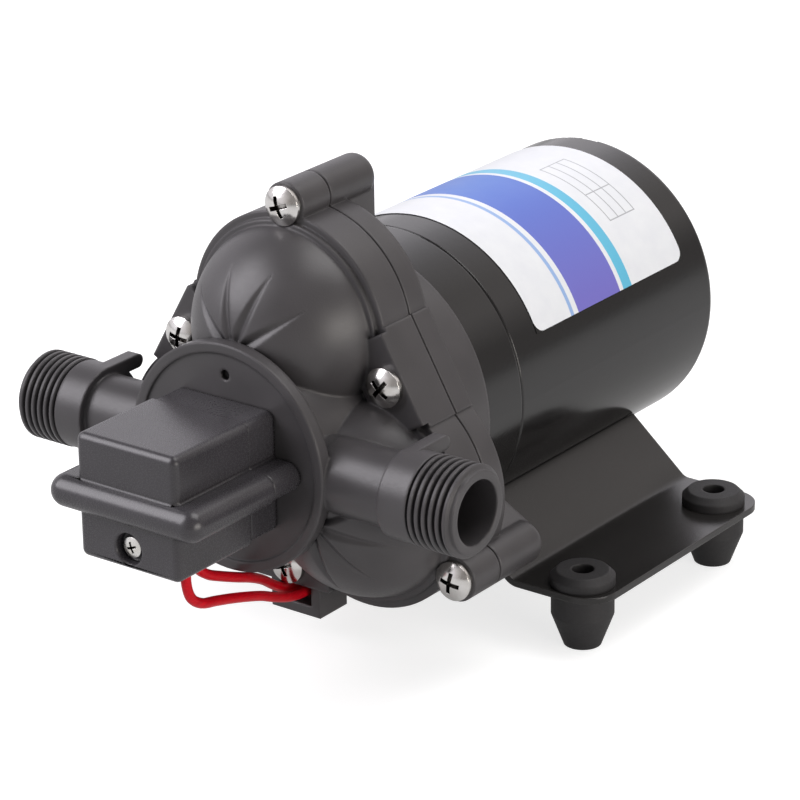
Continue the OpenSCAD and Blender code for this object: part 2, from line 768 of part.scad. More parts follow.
can_round = 2;
bush_r = 6.5;
bush_len = 5;
bush_wall = 2.5;
rear_boss_h = 2.5;
notch_half = 2.5;
notch_d = 2;
module motor_can() {
  color(gloss_black) pump() difference() {
    union() {
      translate([0, 0, z_rear]) rotate_extrude() difference() {
        union() {
          translate([0, can_round]) square([motor_r, can_len - can_round - edge]);
          square([motor_r - can_round, can_round + cut]);
          translate([motor_r - can_round, can_round]) circle(r = can_round);
          translate([0, can_len - edge - cut])
            polygon([[0, 0], [motor_r, 0], [motor_r, cut],
              [motor_r - edge, cut + edge], [0, cut + edge]]);
        }
        translate([-motor_r, -motor_r]) square([motor_r, 2 * can_len]);
        translate([0, can_wall]) square([motor_r - can_wall, can_len]);
      }
      translate([0, 0, z_rear - rear_boss_h])
        cylinder(r = bush_r + bush_wall, h = rear_boss_h + can_wall + bush_len);
    }
    translate([0, 0, z_rear]) cylinder(r = bush_r + fit_gap / 2, h = can_len);
    translate([-notch_half, motor_r - notch_d, z_rear - cut])
      cube([2 * notch_half, 2 * notch_d, notch_d + cut]);
    at_plate_screws() rotate([90, 0, 0]) cylinder(r = plate_screw_r + fit_gap, h = motor_r + cut);
  }
}
module rear_bush() {
  color(brass) pump() translate([0, 0, z_rear]) ring(bush_r, shaft_r + fit_gap, can_wall + bush_len);
}

// Stack along the shaft, from the rear bush forward
comm_r = 9.5;
comm_len = 10;
end_turn = 7;
z_comm = z_rear + can_wall + bush_len + 1;
z_core = z_comm + comm_len + end_turn + 1;
slot_pcr = 21;
slot_r = 3;
slot_open = 0.8;
magnet_over = 4;
magnet_angle = 130;
air_gap = 0.9;
module magnets() {
  magnet_in = motor_r - can_wall - seat_gap - magnet_t;
  color(ferrite) pump() for (a = [-magnet_angle / 2, 180 - magnet_angle / 2]) rotate(a)
    translate([0, 0, z_core - magnet_over]) rotate_extrude(angle = magnet_angle)
      translate([magnet_in, 0]) square([magnet_t, armature_len + 2 * magnet_over]);
}
shaft_front = -pivot_back + cam_len / 2 - 0.5;
module motor_shaft() {
  color(steel) pump() translate([0, 0, z_rear + 0.5])
    cylinder(r = shaft_r, h = shaft_front - z_rear - 0.5);
}
module armature_core() {
  color(steel) pump() translate([0, 0, z_core]) linear_extrude(armature_len) difference() {
    circle(r = armature_r);
    circle(r = shaft_r + fit_gap / 2);
    for (i = [0 : slots - 1]) rotate(360 * i / slots) {
      translate([slot_pcr, 0]) circle(r = slot_r);
      translate([slot_pcr, -slot_open]) square([armature_r, 2 * slot_open]);
    }
  }
}
bar_r = 2.7;
turn_in = 12;
turn_out = 24.5;
turn_round = 2;
module windings() {
  color(copper) pump() {
    for (z = [z_core - end_turn, z_core + armature_len]) translate([0, 0, z]) rotate_extrude()
      translate([turn_in, 0]) round_rect([turn_out - turn_in, end_turn], turn_round);
    for (i = [0 : slots - 1]) rotate(360 * i / slots) translate([slot_pcr, 0, z_core - end_turn / 2])
      cylinder(r = bar_r, h = armature_len + end_turn);
  }
}
segment_gap = 0.3;
module commutator() {
  color(copper) pump() translate([0, 0, z_comm]) difference() {
    ring(comm_r, shaft_r + fit_gap / 2, comm_len);
    for (i = [0 : slots - 1]) rotate(360 * i / slots)
      translate([comm_r - 1.5, -segment_gap, cut]) cube([3, 2 * segment_gap, comm_len]);
  }
}

// Brush gear
card_t = 1.5;
card_in = 13;
brush_w = 5;
brush_h = 6;
brush_len = 9;
holder_wall = 0.9;
holder_side = holder_wall + fit_gap;
holder_len = 15.5;
z_brush = z_comm + comm_len / 2;
holder_in = comm_r + 1.5;
z_card = z_brush + brush_h / 2 + fit_gap + holder_wall;
module brush_card() {
  color("#6b3f24") pump() difference() {
    union() {
      translate([0, 0, z_card]) ring(motor_r - can_wall - fit_gap, card_in, card_t);
      both_sides() translate([holder_in, -brush_w / 2 - holder_side, z_brush - brush_h / 2 - holder_side])
        cube([holder_len, brush_w + 2 * holder_side, brush_h + 2 * holder_side + card_t / 2]);
    }
    both_sides() translate([holder_in - cut, -brush_w / 2 - fit_gap, z_brush - brush_h / 2 - fit_gap])
      cube([holder_len + cut - holder_wall, brush_w + 2 * fit_gap, brush_h + 2 * fit_gap]);
  }
}
module brush() {
  difference() {
    translate([0, -brush_w / 2, z_brush - brush_h / 2]) cube([comm_r + brush_len, brush_w, brush_h]);
    translate([0, 0, z_brush - brush_h]) cylinder(r = comm_r + fit_gap, h = 2 * brush_h);
  }
}
module brush_spring() {
  length = holder_in + holder_len - holder_wall - comm_r - brush_len;
  translate([comm_r + brush_len, 0, z_brush]) rotate([0, 90, 0]) spring(1.7, 0.3, length, 5);
}
module brush_right() {
  color(carbon) pump() brush();
}
module brush_left() {
  color(carbon) pump() mirror([1, 0, 0]) brush();
}
module brush_spring_right() {
  color(stainless) pump() brush_spring();
}
module brush_spring_left() {
  color(stainless) pump() rotate(180) brush_spring();
}

// Screws that hold the drive housing on the motor, at the waists
motor_screw_r = 2;
motor_screw_head_r = 3.4;
motor_screw_pcr = 16.5;
module at_motor_screws() {
  for (a = [30, 210]) rotate(a) translate([motor_screw_pcr, 0, 0]) children();
}
module motor_screws() {
  color(steel) pump() at_motor_screws() translate([0, 0, z_bell - bell_front])
    cylinder(r = motor_screw_r, h = bell_front + drive_wall);
}

// Label sheet on top of the can
label_back = 9.5;
label_corner = 3;
module label_corner_cut() {
  translate([motor_r - cut, 0, 0]) rotate([90, 0, 90]) linear_extrude(4 * cut) difference() {
    translate([-label_corner - cut, -label_corner - cut]) square(label_corner + cut);
    circle(r = label_corner);
  }
}
module motor_label() {
  inset = asin(label_corner / motor_r);
  color(white_film) pump() translate([0, 0, z_can - label_back - label_len / 2]) difference() {
    rotate(90 - label_angle / 2) rotate_extrude(angle = label_angle)
      translate([motor_r + fit_gap / 2, -label_len / 2]) square([label_t, label_len]);
    for (up = [0, 1]) mirror([0, 0, up]) both_sides()
      rotate(90 - label_angle / 2 + inset) translate([0, 0, label_corner - label_len / 2])
        label_corner_cut();
  }
}

// Base plate and feet

saddle_gap = 0.05;
saddle_r = motor_r + saddle_gap;
foot_ear_r = foot_neck_r + 3.5;
foot_spots = [[1, -1], [-1, -1], [1, 1], [-1, 1]];
module at_foot(spot) {
  translate([spot[0] * foot_dx / 2, spot[1] * foot_dy / 2, 0]) children();
}
// Web and flange of one side as a stroke with one bend, X and Z; the web is steeper than its
// set slope where the collars of the feet leave too little room
function turn(centre, r, from, to, steps) =
  [for (i = [0 : steps]) let (a = from + (to - from) * i / steps) centre + r * [cos(a), sin(a)]];
module plate_side() {
  mid = plate_h - plate_t / 2;
  fold_r = saddle_r + plate_t / 2;
  fold = [fold_r * sin(saddle_half), axis_h - fold_r * cos(saddle_half)];
  room = foot_dx / 2 - foot_collar_r - seat_gap - plate_bend / 2 - fold[0];
  slope = max(web_slope, atan2(fold[1] - mid, room));
  web_dir = [cos(slope), -sin(slope)];
  start = fold - web_dir * 2 * plate_t;
  corner_x = fold[0] + (fold[1] - mid) / tan(slope);
  normal = [sin(slope), cos(slope)];
  setback = plate_bend * tan(slope / 2);
  centre = [corner_x + setback, mid + plate_bend];
  upper = turn(centre, plate_bend - plate_t / 2, 270 - slope, 270, 5);
  lower = turn(centre, plate_bend + plate_t / 2, 270, 270 - slope, 5);
  out = max(plate_w / 2, foot_dx / 2 + foot_ear_r);
  rim = [[out, plate_h], [out, plate_h - plate_t]];
  polygon(concat([start + normal * plate_t / 2], upper, rim, lower, [start - normal * plate_t / 2]));
}
wire_notch = 7;
saddle_end = saddle_half + 0.8;
module base_plate() {
  length = plate_front + plate_rear;
  color(sheet_black) difference() {
    intersection() {
      union() {
        both_sides() translate([0, plate_rear, 0]) rotate([90, 0, 0]) linear_extrude(length) plate_side();
        translate([0, plate_rear, axis_h]) rotate([90, 0, 0]) rotate(270 - saddle_end)
          rotate_extrude(angle = 2 * saddle_end) translate([saddle_r - cut, 0])
            square([plate_t + cut, length]);
      }
      linear_extrude(2 * axis_h) {
        translate([-plate_w / 2, -plate_front]) round_rect([plate_w, length], plate_corner);
        for (spot = foot_spots) at_foot(spot) circle(r = foot_ear_r);
      }
    }
    pump() translate([0, 0, z_rear]) cylinder(r = saddle_r, h = can_len + bell_len + drive_len);
    pump() translate([0, 0, z_bell - cut]) cylinder(r = skirt_r + seat_gap, h = drive_len);
    for (spot = foot_spots) at_foot(spot) cylinder(r = foot_neck_r + seat_gap / 2, h = plate_h + cut);
    translate([-wire_notch, -plate_front - cut, 0])
      cube([2 * wire_notch, plate_front - joint_fwd + drive_len + bell_len + cut, axis_h]);
    pump() at_plate_screws() rotate([90, 0, 0]) cylinder(r = plate_screw_r + seat_gap, h = axis_h);
  }
}
plate_screw_r = 2;
plate_screw_head_r = 3.8;
plate_screw_head_h = 2.4;
plate_screw_grip = 3.5;
plate_screw_front = 12;
plate_screw_rear = 47;
module at_plate_screws() {
  for (back = [plate_screw_front, plate_screw_rear]) translate([0, 0, z_can - back]) children();
}
module base_plate_screws() {
  color(steel) pump() at_plate_screws() translate([0, -saddle_r - plate_t, 0]) rotate([90, 0, 0]) {
    pan_screw(plate_screw_head_r, plate_screw_head_h, 2 * plate_screw_r, plate_t + plate_screw_grip);
  }
}

foot_skirt = 5.7;
foot_round = 1.4;
module foot(spot) {
  under = plate_h - plate_t;
  color(rubber) at_foot(spot) difference() {
    union() {
      cylinder(r1 = foot_tip_r, r2 = foot_r, h = under - foot_skirt);
      translate([0, 0, under - foot_skirt]) cylinder(r = foot_r, h = foot_skirt);
      translate([0, 0, under - cut]) cylinder(r = foot_neck_r, h = plate_t + 2 * cut);
      translate([0, 0, plate_h]) cylinder(r = foot_collar_r, h = foot_collar_h - foot_round);
      translate([0, 0, plate_h + foot_collar_h - foot_round])
        cylinder(r1 = foot_collar_r, r2 = foot_collar_r - foot_round, h = foot_round);
    }
    translate([0, 0, -cut]) cylinder(d = foot_hole_d, h = axis_h);
  }
}
module foot_front_right() foot(foot_spots[0]);
module foot_front_left() foot(foot_spots[1]);
module foot_rear_right() foot(foot_spots[2]);
module foot_rear_left() foot(foot_spots[3]);

// Pressure switch

// Outline of the switch box: upper and lower parts with the belt between them
box_corner = 2;
belt_in = belt_half - belt_r;
module box_outline(inset) {
  translate([-box_half + inset, -box_low + inset])
    round_rect([2 * (box_half - inset), box_low + box_top - 2 * inset], box_corner);
  translate([-belt_in, -belt_r + inset]) square([2 * belt_in, 2 * (belt_r - inset)]);
  for (s = [-1, 1]) translate([s * belt_in, 0]) circle(r = belt_r - inset);
}
base_inset = 0.4;
sense_chamber_r = 9;
sense_chamber_d = 3;
base_floor = 5;
plunger_r = 3;
z_floor = z_disc + base_floor;
post_r = 1.6;
post_x = 7.5;
post_y = 5.7;
post_pin_r = 1.1;
post_pin_h = 4;
micro_gap = 3.4;
lever_t = 1.8;
z_micro = z_floor + 2 + micro_gap + lever_t;
lever_half = 4.6;
lever_low = 12.4;
pin_r = 1.25;
pin_up = 9.5;
barrel_r = 2.3;
ear_t = 2;
ear_in = lever_half + seat_gap;
z_lever = z_floor + 1.6;
z_pin = z_lever + lever_t / 2;
module switch_base() {
  color(moulded) pump() difference() {
    union() {
      difference() {
        translate([0, 0, z_disc]) linear_extrude(base_len) box_outline(base_inset);
        translate([0, 0, z_floor]) linear_extrude(base_len) box_outline(box_wall);
      }
      both_sides() {
        translate([post_x, post_y, z_floor - cut]) cylinder(r = post_r, h = z_micro - z_floor + cut);
        translate([post_x, post_y, z_floor - cut])
          cylinder(r = post_pin_r, h = z_micro - z_floor + cut + post_pin_h);
        translate([ear_in, pin_up - barrel_r, z_floor - cut])
          cube([ear_t, 2 * barrel_r, z_pin - z_floor + cut + barrel_r]);
      }
    }
    translate([0, 0, z_disc - cut]) cylinder(r = sense_chamber_r, h = sense_chamber_d + cut);
    translate([0, 0, z_disc]) cylinder(r = plunger_r + fit_gap, h = base_floor + cut);
    translate([-ear_in - ear_t - cut, pin_up, z_pin]) rotate([0, 90, 0])
      cylinder(r = pin_r + fit_gap / 2, h = 2 * (ear_in + ear_t + cut));
    at_switch_screws() translate([0, 0, z_disc - cut])
      cylinder(r = switch_screw_r + seat_gap, h = base_floor + 2 * cut);
  }
}

wire_hole_r = 1.5;
wire_exits = [[4, 53], [2, 47.5]];
module switch_cover() {
  color(moulded) pump() difference() {
    union() {
      intersection() {
        soft_box([-box_half, -box_low, z_seam - 4 * cover_edge],
          [box_half, box_top, z_front], cover_edge);
        translate([-belt_half, -belt_half, z_seam]) cube([2 * belt_half, 2 * belt_half, cover_len + cut]);
      }
      both_sides() translate([belt_in, 0, z_seam]) cylinder(r = belt_r, h = cover_len - 0.8);
      translate([-belt_in, 0, z_front - 0.8]) rotate([0, 90, 0]) cylinder(r = belt_r, h = 2 * belt_in);
      both_sides() translate([belt_in, 0, z_front - 0.8]) sphere(r = belt_r);
      translate([-belt_in, -belt_r, z_seam]) cube([2 * belt_in, 2 * belt_r, cover_len - 0.8]);
    }
    difference() {
      translate([0, 0, z_seam - cut]) linear_extrude(cover_len + cut - box_wall) box_outline(box_wall);
      translate([0, -adjust_low, z_front - adjust_recess_d - adjust_wall])
        cylinder(r = adjust_recess_r + 1.5, h = adjust_recess_d + adjust_wall);
    }
    translate([0, -adjust_low, z_front - adjust_recess_d])
      cylinder(r = adjust_recess_r, h = adjust_recess_d + cut);
    translate([0, -adjust_low, z_front - adjust_recess_d - adjust_wall - cut])
      cylinder(r = adjust_r + fit_gap, h = adjust_recess_d);
    for (exit = wire_exits) translate([exit[0], -box_low - cut, exit[1]]) rotate([-90, 0, 0])
      cylinder(r = wire_hole_r, h = box_wall + 2 * cut);
  }
}

switch_screw_r = 1;
switch_screw_head_r = 1.8;
switch_screw_x = 10;
switch_screw_y = 10;
switch_screw_in = 1.7;
module at_switch_screws() {
  for (x = [-1, 1], y = [-1, 1]) translate([x * switch_screw_x, y * switch_screw_y, 0]) children();
}
module switch_screws() {
  color(stainless) pump() at_switch_screws() translate([0, 0, z_floor])
    pan_screw(switch_screw_head_r, 1.2, 2 * switch_screw_r, base_floor + switch_screw_in);
}

switch_membrane_t = 1.2;
module switch_diaphragm() {
  color(membrane) pump() translate([0, 0, z_disc])
    cylinder(r = sense_chamber_r - seat_gap, h = switch_membrane_t);
}
plunger_flange_r = 6.5;
plunger_flange_t = 1;
// Pin of radius r and length h whose tip is crowned, so that it rolls on a tilting face
module crowned_pin(r, h) {
  crown = 2 * r;
  edge = h - crown + sqrt(crown * crown - r * r);
  rotate_extrude() {
    square([r, edge]);
    intersection() {
      translate([0, h - crown]) circle(r = crown);
      translate([0, edge - cut]) square([r, h]);
    }
  }
}
module switch_plunger() {
  color(nylon) pump() translate([0, 0, z_disc + switch_membrane_t]) {
    cylinder(r = plunger_flange_r, h = plunger_flange_t);
    crowned_pin(plunger_r, z_lever - z_disc - switch_membrane_t - fit_gap);
  }
}
module switch_lever() {
  color(steel) pump() difference() {
    union() {
      translate([-lever_half, -lever_low, z_lever]) cube([2 * lever_half, lever_low + pin_up, lever_t]);
      translate([-lever_half, pin_up, z_pin]) rotate([0, 90, 0])
        cylinder(r = barrel_r, h = 2 * lever_half);
    }
    translate([-lever_half - cut, pin_up, z_pin]) rotate([0, 90, 0])
      cylinder(r = pin_r + fit_gap, h = 2 * lever_half + 2 * cut);
  }
}
module lever_pin() {
  half = ear_in + ear_t;
  color(stainless) pump() translate([-half, pin_up, z_pin]) rotate([0, 90, 0])
    cylinder(r = pin_r, h = 2 * half);
}

adjust_r = 1.5;
adjust_recess_d = 2.8;
adjust_wall = 1.6;
adjust_head_r = 2.4;
adjust_head_h = 1.8;
adjust_collar_r = 2.4;
adjust_collar_t = 0.8;
nut_size = 5.4;
nut_t = 3;
spring_len = 8.4;
z_nut = z_lever + lever_t + spring_len;
module at_adjust() {
  pump() translate([0, -adjust_low, 0]) children();
}
module switch_spring() {
  color(stainless) at_adjust() translate([0, 0, z_lever + lever_t + fit_gap])
    spring(2.25, 0.4, spring_len - 2 * fit_gap, 6);
}
module spring_nut() {
  color(brass) at_adjust() translate([0, 0, z_nut]) difference() {
    translate([-nut_size / 2, -nut_size / 2, 0]) cube([nut_size, nut_size, nut_t]);
    translate([0, 0, -cut]) cylinder(r = adjust_r + fit_gap, h = nut_t + 2 * cut);
  }
}
module pressure_adjust_screw() {
  z_floor_out = z_front - adjust_recess_d;
  z_tip = z_nut - 3;
  color(stainless) at_adjust() {
    translate([0, 0, z_tip]) cylinder(r = adjust_r, h = z_floor_out - z_tip + fit_gap);
    translate([0, 0, z_floor_out + fit_gap]) pan_head(adjust_head_r, adjust_head_h, 3);
    translate([0, 0, z_floor_out - adjust_wall - adjust_collar_t - fit_gap])
      cylinder(r = adjust_collar_r, h = adjust_collar_t);
  }
}

micro_half = 9.9;
micro_low = 2.5;
micro_high = 8.9;
micro_len = 10;
button_r = 1.2;
button_y = 5;
module microswitch_body() {
  color("#1f2328") pump() difference() {
    translate([-micro_half, micro_low, z_micro])
      cube([2 * micro_half, micro_high - micro_low, micro_len]);
    both_sides() translate([post_x, post_y, z_micro - cut])
      cylinder(r = post_pin_r + fit_gap, h = post_pin_h + 2 * cut);
    translate([0, button_y, z_micro - cut]) cylinder(r = button_r + fit_gap, h = 4 + cut);
  }
}
module microswitch_button() {
  z_tip = z_lever + lever_t + fit_gap;
  color("#a83228") pump() translate([0, button_y, z_micro + 3]) rotate([180, 0, 0])
    crowned_pin(button_r, z_micro + 3 - z_tip);
}
terminal_x = 6;
terminal_w = 4.8;
terminal_t = 0.6;
terminal_len = 5;
module microswitch_terminals() {
  color(brass) pump() both_sides()
    translate([terminal_x - terminal_w / 2, post_y - terminal_t / 2, z_micro + micro_len])
      cube([terminal_w, terminal_t, terminal_len]);
}

// Red wires, from the holes under the switch cover through the loop to the motor's gland
wire_r = 1.2;
lower_route = [
  [4, -107, 40], [4, -107, 36], [4, -107, 31], [4, -105.5, 27], [4, -102, 24.5], [3.5, -97, 23],
  [3, -91, 21.2], [2.5, -85, 19.2], [2, -79, 17], [2, -74, 14.8], [2, -69, 13], [2, -64, 12.2],
  [2, -59, 12], [2, -54, 12], [2, -48, 12], [2, -42, 12.4], [1.8, -38, 13.2], [1.6, -34, 14.4],
  [1.5, -31.4, 16.6], [1.5, -30.4, 19.4]
];
upper_route = [
  [2, -101.5, 40], [2, -101.5, 36], [1.8, -100.5, 32], [1.6, -97, 29], [1.4, -92, 26.6],
  [1, -86, 24], [0, -80, 21.4], [-0.8, -75, 18.8], [-1.4, -70, 15.4], [-1.8, -66, 13.2],
  [-2, -62, 12.2], [-2, -58, 12], [-2, -54, 12], [-2, -48, 12], [-2, -42, 12.4], [-1.8, -38, 13.2],
  [-1.6, -34, 14.4], [-1.5, -31.4, 16.6], [-1.5, -30.4, 19.4]
];
module wire(route) {
  across = [for (p = route) [1, 0, 0]];
  color(red_pvc) tube(route, wire_r, 8, across);
}
module red_wire_upper() wire(upper_route);
module red_wire_lower() wire(lower_route);

head_housing();
drive_housing();
head_screws();
valve_plate();
intake_valves();
outlet_valve();
diaphragm();
pistons();
piston_screws();
wobble_plate();
wobble_bearing_outer();
wobble_bearing_balls();
wobble_bearing_inner();
wobble_cam();
motor_bell();
front_bearing_outer();
front_bearing_balls();
front_bearing_inner();
motor_can();
rear_bush();
magnets();
motor_shaft();
armature_core();
windings();
commutator();
brush_card();
brush_right();
brush_left();
brush_spring_right();
brush_spring_left();
motor_screws();
motor_label();
base_plate();
base_plate_screws();
foot_front_right();
foot_front_left();
foot_rear_right();
foot_rear_left();
switch_base();
switch_cover();
switch_screws();
switch_diaphragm();
switch_plunger();
switch_lever();
lever_pin();
switch_spring();
spring_nut();
pressure_adjust_screw();
microswitch_body();
microswitch_button();
microswitch_terminals();
red_wire_upper();
red_wire_lower();
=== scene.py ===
import math

import bmesh
import bpy
from mathutils import Matrix, Vector


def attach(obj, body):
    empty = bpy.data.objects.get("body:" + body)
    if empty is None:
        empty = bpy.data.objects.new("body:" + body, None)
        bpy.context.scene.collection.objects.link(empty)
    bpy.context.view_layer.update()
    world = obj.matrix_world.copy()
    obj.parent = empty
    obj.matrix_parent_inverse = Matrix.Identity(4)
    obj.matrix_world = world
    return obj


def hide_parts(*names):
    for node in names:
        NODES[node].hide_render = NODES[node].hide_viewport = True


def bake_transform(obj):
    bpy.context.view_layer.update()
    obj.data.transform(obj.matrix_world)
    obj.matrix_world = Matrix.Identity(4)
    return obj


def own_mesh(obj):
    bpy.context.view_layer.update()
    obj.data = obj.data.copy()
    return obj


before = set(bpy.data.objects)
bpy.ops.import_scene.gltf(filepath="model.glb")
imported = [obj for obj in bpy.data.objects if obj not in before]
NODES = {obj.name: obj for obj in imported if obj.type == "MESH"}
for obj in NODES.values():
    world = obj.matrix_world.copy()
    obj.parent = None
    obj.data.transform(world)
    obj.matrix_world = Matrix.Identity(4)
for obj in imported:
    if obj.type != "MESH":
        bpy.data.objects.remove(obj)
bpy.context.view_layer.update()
MM = 0.001
WELD_GAP = 0.000001

# Camera at the photograph's angle: azimuth, elevation and roll in degrees, place and clip in
# metres, lens and sensor in millimetres
CAMERA_TURN = (37.07, 21.24, -0.97)
CAMERA_PLACE = (0.47337, -0.65317, 0.36015)
CAMERA_LENS = 162.82
CAMERA_SENSOR = 36
CAMERA_SHIFT = (0.01204, -0.04015)
CAMERA_CLIP = (0.01, 20)


def add_camera():
    azimuth, elevation, roll = (math.radians(a) for a in CAMERA_TURN)
    toward = Vector((math.sin(azimuth) * math.cos(elevation),
                     -math.cos(azimuth) * math.cos(elevation),
                     math.sin(elevation)))
    level = Vector((math.cos(azimuth), math.sin(azimuth), 0))
    upright = toward.cross(level)
    right = math.cos(roll) * level + math.sin(roll) * upright
    up = -math.sin(roll) * level + math.cos(roll) * upright
    data = bpy.data.cameras.new("camera")
    data.sensor_width = CAMERA_SENSOR
    data.lens = CAMERA_LENS
    data.shift_x, data.shift_y = CAMERA_SHIFT
    data.clip_start, data.clip_end = CAMERA_CLIP
    camera = bpy.data.objects.new("camera", data)
    camera.matrix_world = Matrix.Translation(CAMERA_PLACE) @ Matrix(
        (right, up, toward)).transposed().to_4x4()
    bpy.context.scene.collection.objects.link(camera)
    bpy.context.scene.camera = camera


add_camera()


# Material building

NOISE_SPAN = (0.3, 0.7)  # most values of a noise texture lie between these
EDGE_SPAN = (0.995, 0.8)  # cosines at which an edge starts to count and counts in full
BEVEL_SAMPLES = 6
HOLLOW_SAMPLES = 8


def tree_of(name):
    material = bpy.data.materials.new(name)
    material.use_nodes = True
    tree = material.node_tree
    tree.nodes.clear()
    out = tree.nodes.new("ShaderNodeOutputMaterial")
    shader = tree.nodes.new("ShaderNodeBsdfPrincipled")
    tree.links.new(shader.outputs[0], out.inputs[0])
    return material, tree, shader


def place(tree):
    return tree.nodes.new("ShaderNodeTexCoord").outputs["Object"]


def noise(tree, where, scale, detail=3.0, rough=0.55):
    node = tree.nodes.new("ShaderNodeTexNoise")
    node.inputs["Scale"].default_value = scale
    node.inputs["Detail"].default_value = detail
    node.inputs["Roughness"].default_value = rough
    tree.links.new(where, node.inputs["Vector"])
    return node.outputs["Fac"]


def stretch(tree, where, factors):
    node = tree.nodes.new("ShaderNodeMapping")
    node.inputs["Scale"].default_value = factors
    tree.links.new(where, node.inputs["Vector"])
    return node.outputs["Vector"]


def spread(tree, value, low, high, to_low, to_high):
    node = tree.nodes.new("ShaderNodeMapRange")
    for socket, number in zip(node.inputs[1:5], (low, high, to_low, to_high)):
        socket.default_value = number
    tree.links.new(value, node.inputs[0])
    return node.outputs[0]


def mixed(tree, factor, one, other):
    node = tree.nodes.new("ShaderNodeMix")
    node.data_type = "RGBA"
    for socket, colour in ((node.inputs[6], one), (node.inputs[7], other)):
        if isinstance(colour, tuple):
            socket.default_value = (*colour, 1)
        else:
            tree.links.new(colour, socket)
    tree.links.new(factor, node.inputs[0])
    return node.outputs[2]


def maths(tree, how, one, other=None):
    node = tree.nodes.new("ShaderNodeMath")
    node.operation = how
    for socket, value in zip(node.inputs, (one, other)):
        if value is None:
            continue
        if isinstance(value, (int, float)):
            socket.default_value = value
        else:
            tree.links.new(value, socket)
    return node.outputs[0]


def rounded(tree, radius):
    node = tree.nodes.new("ShaderNodeBevel")
    node.samples = BEVEL_SAMPLES
    node.inputs["Radius"].default_value = radius
    return node.outputs[0]


def edge_mask(tree, soft):
    """1 on edges, where highlights are painted, and 0 on open faces: how far the rounded normal
    leaves the true one.
    """
    geometry = tree.nodes.new("ShaderNodeNewGeometry")
    dot = tree.nodes.new("ShaderNodeVectorMath")
    dot.operation = "DOT_PRODUCT"
    tree.links.new(soft, dot.inputs[0])
    tree.links.new(geometry.outputs["Normal"], dot.inputs[1])
    return spread(tree, dot.outputs["Value"], *EDGE_SPAN, 0.0, 1.0)


def hollows(tree, reach, low=0.35, high=0.85, alone=True):
    """1 deep in a hollow and 0 on open faces; alone leaves out what other pieces hide."""
    node = tree.nodes.new("ShaderNodeAmbientOcclusion")
    node.samples = HOLLOW_SAMPLES
    node.only_local = alone
    node.inputs["Distance"].default_value = reach
    return spread(tree, node.outputs["AO"], low, high, 1.0, 0.0)


def bumped(tree, shader, height, depth, strength, normal=None):
    node = tree.nodes.new("ShaderNodeBump")
    node.inputs["Strength"].default_value = strength
    node.inputs["Distance"].default_value = depth
    tree.links.new(height, node.inputs["Height"])
    if normal is not None:
        tree.links.new(normal, node.inputs["Normal"])
    tree.links.new(node.outputs[0], shader.inputs["Normal"])


def shade(colour, factor):
    return tuple(min(c * factor, 1) for c in colour)


def mottled(tree, pattern, base, dark, light):
    """The base colour, darker and lighter by these factors along a noise pattern."""
    share = spread(tree, pattern, *NOISE_SPAN, 0.0, 1.0)
    return mixed(tree, share, shade(base, dark), shade(base, light))


def roughened(tree, shader, pattern, low, high):
    tree.links.new(spread(tree, pattern, *NOISE_SPAN, low, high), shader.inputs["Roughness"])


def plain_values(shader, **values):
    for name, value in values.items():
        shader.inputs[name.replace("_", " ")].default_value = value


# Hollows where shade is painted into the colour: reach, openness where the painted shade is darkest
# and where it ends, and whether the piece is taken alone
PIT_SHADE = ((0.003, 0.3, 0.75, True), (0.016, 0.15, 0.5, True))
SEAM_SHADE = ((0.0012, 0.70, 0.97, False),)
# painted shade: the colour laid into hollows, creases and seams where shade falls
PAINTED_SHADE = (0.008, 0.007, 0.008)
FLOW_SCALE = 90
HIGHLIGHT_SPAN = (0.35, 0.65)
HIGHLIGHT_LEAST = 0.6  # share of the painted edge highlight that the faintest edges have


def moulded(name, base, highlight_colour, rough, grain=2600, depth=0.00004, radius=0.0005, highlight_share=0.35,
            hollow_shade=0.0, shade_spots=PIT_SHADE, matt=0.05):
    """Moulded plastic or rubber: grain, faint flow marks, painted highlights on the edges, painted
    shade in the hollows.
    """
    material, tree, shader = tree_of(name)
    here = place(tree)
    soft = rounded(tree, radius)
    edges = edge_mask(tree, soft)
    clouds = noise(tree, here, FLOW_SCALE, 1)
    speck = noise(tree, here, grain, 2)
    tone = mottled(tree, clouds, base, 0.9, 1.1)
    # painted highlight: the edges lighter, more or less so along the flow marks
    highlight_strength = spread(tree, clouds, *HIGHLIGHT_SPAN, highlight_share * HIGHLIGHT_LEAST, highlight_share)
    tone = mixed(tree, maths(tree, "MULTIPLY", edges, highlight_strength), tone, highlight_colour)
    # painted shade: the colour darkened in hollows, creases and seams where shade falls
    if hollow_shade:
        for shade_spot in shade_spots:
            shade_share = maths(tree, "MULTIPLY", hollows(tree, *shade_spot), hollow_shade)
            tone = mixed(tree, shade_share, tone, PAINTED_SHADE)
    tree.links.new(tone, shader.inputs["Base Color"])
    roughened(tree, shader, speck, rough - matt, rough + matt)
    bumped(tree, shader, speck, depth, 0.5, soft)
    plain_values(shader, IOR=1.5)
    return material


PAINT_ROUND = 0.0005
PEEL_DEPTH = 0.00003
DUST_SCALE = 5200
DUST_SPAN = (0.72, 0.8)
DUST_MOST = 0.35
DUST = (0.12, 0.12, 0.12)
SMEAR_SCALE = 60
SMEAR_STRETCH = (1, 0.25, 1)
PAINT_EDGE_HIGHLIGHT_SHARE = 0.25
PAINT_EDGE_HIGHLIGHT = (0.16, 0.155, 0.15)


